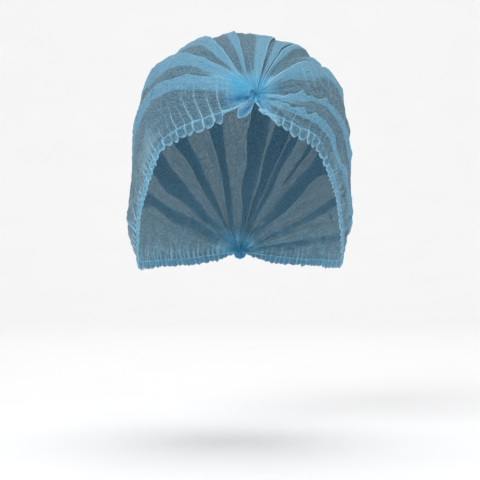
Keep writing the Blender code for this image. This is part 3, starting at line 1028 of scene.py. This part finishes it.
def make_weld(name, node, at_rear, material):
    """The knot: folds that run in from all sides to a small pressed spot with embossed dots."""
    reach = np.linspace(KNOT_EDGE, 0, KNOT_GRID[0])[:, None]
    swing = np.linspace(-180, 180, KNOT_GRID[1], endpoint=False)[None, :]
    ridge = spokes(swing) * ease(reach / KNOT_SPOKE_START)
    side, rise = reach * np.sin(np.radians(swing)), reach * np.cos(np.radians(swing))
    pressed = 1 - step(np.hypot(side * 1.25, rise), PRESSED_SIZE, PRESSED_FADE)
    dots = np.clip(np.cos(side * DOT_WAVES) * np.cos(rise * DOT_WAVES), 0, 1) ** 1.5 * pressed
    lump = LUMP_HEIGHT * field(side * 2.4 + 3, rise * 2.4, 15.0)
    lump = lump + SMALL_LUMP_HEIGHT * field(side * 6, rise * 6, 18.0)
    from_hook = np.hypot(side - HOOK_PLACE[0], rise - HOOK_PLACE[1])
    hook = bell(from_hook, HOOK_RADIUS, HOOK_WIDTH) * ease((side - rise) / HOOK_FADE)
    height = BASE_HEIGHT + KNOT_FLOOR + knot_height(reach * WELD_RADIUS, swing, at_rear)
    height = height - SPOKE_HEIGHT * (spokes(swing) - ridge) + HOOK_HEIGHT * hook
    lump = lump - PRESSED_DEPTH * pressed - DOT_DEPTH * dots
    height = height + lump * np.clip(1 - reach**6, 0, 1)
    height = height - KNOT_EDGE_FALL * step(reach, KNOT_EDGE - KNOT_EDGE_FADE, KNOT_EDGE_FADE)
    turn = turn_at(WELD_RADIUS * reach)
    skin = skin_point(1 - turn if at_rear else turn, swing + 0 * reach)
    points = skin + outward(skin) * height[..., None]
    pinch = KNOT_SPOKE_LINE * (ridge - KNOT_SPOKE_FLOOR) + HOOK_LINE * hook
    pinch = np.clip(pinch + PRESSED_LINE * pressed * (1 - DOT_LINE_FALL * dots), 0, 1)
    flat = np.stack((side, rise), -1) * WELD_RADIUS
    # The embossed dots get painted shade
    values = (("crowding", WELD_LAYERS), ("pinch", pinch), ("band", 1.0), ("shade", DOT_SHADE * dots))
    thing = grid_object(name, points, material, values, flat, closed=True)
    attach(thing, "root")
    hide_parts(node)
    return thing


def make_tab(material):
    """The flap below the front weld, a doubled end of the cloth, open like a leaf with a raised rim."""
    along = np.linspace(0, 1, TAB_GRID[0])[:, None]
    across = np.linspace(-1, 1, TAB_GRID[1])[None, :]
    opening = blend(TAB_ROOT_SHARE, 1, np.sin(np.clip(along / TAB_OPEN_PLACE, 0, 1) * np.pi / 2))
    near_tip = np.clip((along - TAB_CLOSING_PLACE) / (1 - TAB_CLOSING_PLACE), 0, 1)
    closing = 1 - TAB_CLOSING * near_tip**2
    half = TAB_WIDTH / 2 * opening * closing
    distance = WELD_RADIUS + CLEARANCE + TAB_LENGTH * along * (1 - TAB_TIP_BOW * across**2)
    middle = blend(TAB_ROOT_ANGLE, TAB_ANGLE, np.sin(along * np.pi / 2))
    angle = -middle - np.degrees(across * half / distance)
    skin = skin_point(turn_at(distance), angle)
    root = KNOT_RISE * TAB_ROOT_RISE_SHARE * (1 - ease(along / TAB_ROOT_PLACE))
    lift = TAB_HEIGHT + root + TAB_ARCH * np.sin(np.pi * along)
    rim = TAB_RIM * bell(np.abs(across), TAB_RIM_PLACE, TAB_RIM_WIDTH)
    rim = rim + TAB_TIP_RIM * bell(along, TAB_TIP_RIM_PLACE, TAB_TIP_RIM_WIDTH)
    crease = bell(across, -TAB_CREASE_SWAY * np.cos(along * 4), TAB_CREASE_WIDTH) * (1 - along)
    crumple = TAB_CRUMPLE * field(across * 2.2, along * 3.1, 9.0)
    height = lift + rim * along + TAB_CREASE * crease + crumple
    points = skin + outward(skin) * height[..., None]
    edge = (np.abs(across) - TAB_EDGE_LINE[0]) / TAB_EDGE_LINE[1]
    tip = (along - TAB_TIP_LINE[0]) / TAB_TIP_LINE[1]
    pinch = np.clip(np.maximum(edge, tip), 0, 1)
    pinch = np.clip(pinch + TAB_CREASE_LINE * crease, 0, 1)
    # Painted shade in the hollow middle of the tab
    shade = bell(across, TAB_SHADE_PLACE, TAB_SHADE_WIDTH) * np.sin(np.pi * along) ** 0.7
    values = (("crowding", TAB_LAYERS), ("pinch", pinch), ("band", 1.0), ("shade", shade))
    thing = grid_object("tab_flap", points, material, values, flat_values(points))
    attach(thing, "root")
    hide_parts("end_tab")
    return thing


def add(tree, kind, **settings):
    node = tree.nodes.new(kind)
    for key, value in settings.items():
        setattr(node, key, value)
    return node


def link(tree, value, socket):
    if isinstance(value, bpy.types.NodeSocket):
        tree.links.new(value, socket)
    else:
        socket.default_value = value


def set_inputs(node, values):
    for name, value in values.items():
        node.inputs[name].default_value = value


def maths(tree, operation, a, b=0.0, c=0.0, clamp=False):
    node = add(tree, "ShaderNodeMath", operation=operation, use_clamp=clamp)
    for socket, value in zip(node.inputs, (a, b, c)):
        link(tree, value, socket)
    return node.outputs[0]


def mix_color(tree, factor, a, b):
    node = add(tree, "ShaderNodeMix", data_type="RGBA")
    for socket, value in ((node.inputs[0], factor), (node.inputs[6], a), (node.inputs[7], b)):
        link(tree, value, socket)
    return node.outputs[2]


def mix_shader(tree, factor, a, b):
    node = add(tree, "ShaderNodeMixShader")
    for socket, value in zip(node.inputs, (factor, a, b)):
        link(tree, value, socket)
    return node.outputs[0]


def spread(tree, value, low, high):
    """A smooth step from 0 at low to 1 at high."""
    node = add(tree, "ShaderNodeMapRange", interpolation_type="SMOOTHSTEP")
    for socket, number in zip(node.inputs, (value, low, high, 0.0, 1.0)):
        link(tree, number, socket)
    return node.outputs[0]


def noise_texture(tree, vector, scale, detail, distortion=0.0):
    node = add(tree, "ShaderNodeTexNoise")
    link(tree, vector, node.inputs["Vector"])
    set_inputs(node, {"Scale": scale, "Detail": detail, "Distortion": distortion})
    return node.outputs["Fac"]


def attribute(tree, name):
    return add(tree, "ShaderNodeAttribute", attribute_name=name).outputs["Fac"]


def set_relief(tree, shader, relief, strength):
    """Fine relief of a surface, as a bump of its shader."""
    bump = add(tree, "ShaderNodeBump")
    set_inputs(bump, {"Strength": strength, "Distance": RELIEF_DEPTH})
    link(tree, relief, bump.inputs["Height"])
    link(tree, bump.outputs[0], shader.inputs["Normal"])


def new_material(name):
    material = bpy.data.materials.new(name)
    material.use_nodes = True
    tree = material.node_tree
    return material, tree, tree.nodes["Principled BSDF"]


def fibre_web(tree, flat):
    """Fine fibres that cross each other in several directions."""
    web = None
    for turned, across, along, width in WEB:
        mapping = add(tree, "ShaderNodeMapping")
        link(tree, flat, mapping.inputs["Vector"])
        set_inputs(mapping, {"Rotation": (0, 0, turned), "Scale": (across, along, 1)})
        strand = noise_texture(tree, mapping.outputs[0], 1.0, 1, 0.7)
        away = maths(tree, "ABSOLUTE", maths(tree, "SUBTRACT", strand, 0.5))
        line = maths(tree, "SUBTRACT", 1.0, spread(tree, away, 0.0, width))
        web = line if web is None else maths(tree, "MAXIMUM", web, line)
    return web


def bond_points(tree, flat):
    """Small round points where the cloth is pressed together."""
    bonds = add(tree, "ShaderNodeTexVoronoi", feature="F1", distance="EUCLIDEAN")
    link(tree, flat, bonds.inputs["Vector"])
    set_inputs(bonds, {"Scale": BOND_SCALE, "Randomness": BOND_UNEVENNESS})
    return maths(tree, "SUBTRACT", 1.0, spread(tree, bonds.outputs["Distance"], *BOND_STEP))


def cloth_material(name, cover):
    """Thin spunbond cloth: a web of fine fibres that lets some light by, denser where it is gathered."""
    material, tree, shader = new_material(name)
    flat = add(tree, "ShaderNodeUVMap", uv_map="flat").outputs[0]
    labels = ("crowding", "pinch", "band", "shade")
    layers, pinch, tone, shade = (attribute(tree, label) for label in labels)
    clouds = noise_texture(tree, flat, CLOUD_SCALE, 3)
    speckle = noise_texture(tree, flat, SPECKLE_SCALE, 2, 0.4)
    web = fibre_web(tree, flat)
    bond = bond_points(tree, flat)

    cover = cover - COVER_SINK
    for part, share in (
        (spread(tree, clouds, *CLOUD_STEP), CLOUD_COVER),
        (spread(tree, speckle, *SPECKLE_STEP), SPECKLE_COVER),
        (web, WEB_COVER),
        (bond, BOND_COVER),
    ):
        cover = maths(tree, "MULTIPLY_ADD", part, share, cover)
    gap = maths(tree, "SUBTRACT", 1.0, cover, clamp=True)
    layers = maths(tree, "MULTIPLY_ADD", pinch, PINCH_LAYERS, layers)
    alpha = maths(tree, "SUBTRACT", 1.0, maths(tree, "POWER", gap, layers), clamp=True)

    line = mix_color(tree, spread(tree, layers, *GLOW_LAYERS), LINE_COLOR, GLOW_COLOR)
    fleck = maths(tree, "MULTIPLY", spread(tree, speckle, *FLECK_STEP), FIBRE_SHARE)
    # Start from the panels' colour, the cloth's own blue darkened with painted shade
    color = SHADED_PANEL_COLOR
    for share, other in (
        (maths(tree, "MINIMUM", tone, 1.0), BAND_COLOR),
        (spread(tree, layers, *BAND_LAYERS), BAND_COLOR),
        (spread(tree, layers, *DENSE_LAYERS), DENSE_COLOR),
        (maths(tree, "MULTIPLY", spread(tree, tone, *LINE_TONES), LINE_SHARE), line),
        (maths(tree, "MULTIPLY", pinch, LINE_SHARE, clamp=True), line),
        (maths(tree, "MULTIPLY_ADD", web, FIBRE_SHARE, fleck), line),
        # painted shade where the shade attribute asks for it
        (maths(tree, "MULTIPLY", shade, SHADE_SHARE, clamp=True), PAINTED_SHADE_COLOR),
    ):
        color = mix_color(tree, share, color, other)
    link(tree, color, shader.inputs["Base Color"])
    through = add(tree, "ShaderNodeBsdfTranslucent")
    link(tree, mix_color(tree, THROUGH_GLOW_SHARE, color, GLOW_COLOR), through.inputs["Color"])
    cloth = mix_shader(tree, THROUGH_SHARE, shader.outputs[0], through.outputs[0])
    clear = add(tree, "ShaderNodeBsdfTransparent").outputs[0]
    link(tree, mix_shader(tree, alpha, clear, cloth), tree.nodes["Material Output"].inputs["Surface"])

    rough = maths(tree, "MULTIPLY_ADD", bond, BOND_ROUGHNESS, ROUGHNESS)
    rough = maths(tree, "MULTIPLY_ADD", speckle, SPECKLE_ROUGHNESS, rough)
    link(tree, rough, shader.inputs["Roughness"])
    set_inputs(shader, {"Specular IOR Level": 0.35, "Sheen Weight": 0.15, "Sheen Roughness": 0.5})
    relief = maths(tree, "MULTIPLY_ADD", web, WEB_RELIEF, speckle)
    relief = maths(tree, "MULTIPLY_ADD", bond, BOND_RELIEF, relief)
    set_relief(tree, shader, relief, CLOTH_RELIEF)
    return material


def elastic_material():
    """Elastic thread under bunched cloth, mottled from dull to light blue."""
    material, tree, shader = new_material("elastic_thread")
    place = add(tree, "ShaderNodeTexCoord").outputs["Object"]
    grain = noise_texture(tree, place, THREAD_SCALE, 4)
    color = mix_color(tree, spread(tree, grain, *THREAD_STEP), THREAD_COLOR, THREAD_LIGHT_COLOR)
    link(tree, color, shader.inputs["Base Color"])
    set_inputs(shader, {"Roughness": 0.6})
    set_relief(tree, shader, grain, THREAD_RELIEF)
    return material


def stage_material():
    material, tree, shader = new_material("pale_stage")
    place = add(tree, "ShaderNodeTexCoord").outputs["Object"]
    tone = mix_color(tree, noise_texture(tree, place, 9, 4), STAGE_COLOR, STAGE_LIGHT_COLOR)
    link(tree, tone, shader.inputs["Base Color"])
    set_inputs(shader, {"Roughness": 0.9})
    return material


def make_stage():
    """A pale round floor that curves up into a wall on every side."""
    profile = [(radius, 0.0) for radius in FLOOR_RADII]
    for bend in np.linspace(0, np.pi / 2, STAGE_CURVE_ROWS):
        radius = STAGE_RADIUS - STAGE_CURVE * (1 - math.sin(bend))
        profile.append((radius, STAGE_CURVE * (1 - math.cos(bend))))
    profile.append((STAGE_RADIUS, STAGE_WALL))
    radius, rise = np.array(profile).T[:, :, None]
    swing = np.linspace(0, 2 * np.pi, STAGE_COLUMNS, endpoint=False)
    points = np.stack((radius * np.cos(swing), radius * np.sin(swing), FLOOR_HEIGHT + rise + 0 * swing), -1)
    thing = grid_object("floor_and_backdrop", points, stage_material(), closed=True)


def make_lights():
    for name, place, aim, size, power in LIGHTS:
        data = bpy.data.lights.new(name, "AREA")
        data.shape = "DISK"
        data.size = size
        data.energy = power
        lamp = bpy.data.objects.new(name, data)
        lamp.location = place
        lamp.visible_camera = False
        lamp.rotation_euler = (Vector(aim) - Vector(place)).to_track_quat("-Z", "Y").to_euler()
        bpy.context.collection.objects.link(lamp)
    world = bpy.data.worlds.new("soft_white")
    world.use_nodes = True
    set_inputs(world.node_tree.nodes["Background"], {"Color": (1, 1, 1, 1), "Strength": WORLD_STRENGTH})
    bpy.context.scene.world = world


def make_camera():
    data = bpy.data.cameras.new("camera")
    data.sensor_width = SENSOR_MM
    data.lens = SENSOR_MM * CAMERA_DISTANCE / (PHOTO_M_PER_PX * PHOTO_SIDE_PX)
    camera = bpy.data.objects.new("camera", data)
    camera.location = (0, -CAMERA_DISTANCE, CAMERA_HEIGHT)
    camera.rotation_euler = (math.pi / 2, 0, 0)
    bpy.context.collection.objects.link(camera)
    bpy.context.scene.camera = camera


make_camera()
make_lights()
make_stage()
bpy.context.scene.view_settings.view_transform = "Standard"
bpy.context.scene.cycles.transparent_max_bounces = TRANSPARENT_BOUNCES

spunbond = cloth_material("spunbond_cloth", CROWN_COVER)
hem_cloth = cloth_material("hem_spunbond", HEM_COVER)
weld_cloth = cloth_material("weld_spunbond", WELD_COVER)
thread = elastic_material()
crown = make_crown(spunbond)
hems = [make_hem(side, hem_cloth) for side in SIDES]
for side in SIDES:
    make_elastic(side, thread)
make_weld("front_knot", "front_weld", False, weld_cloth)
make_weld("rear_knot", "rear_weld", True, weld_cloth)
tab = make_tab(hem_cloth)
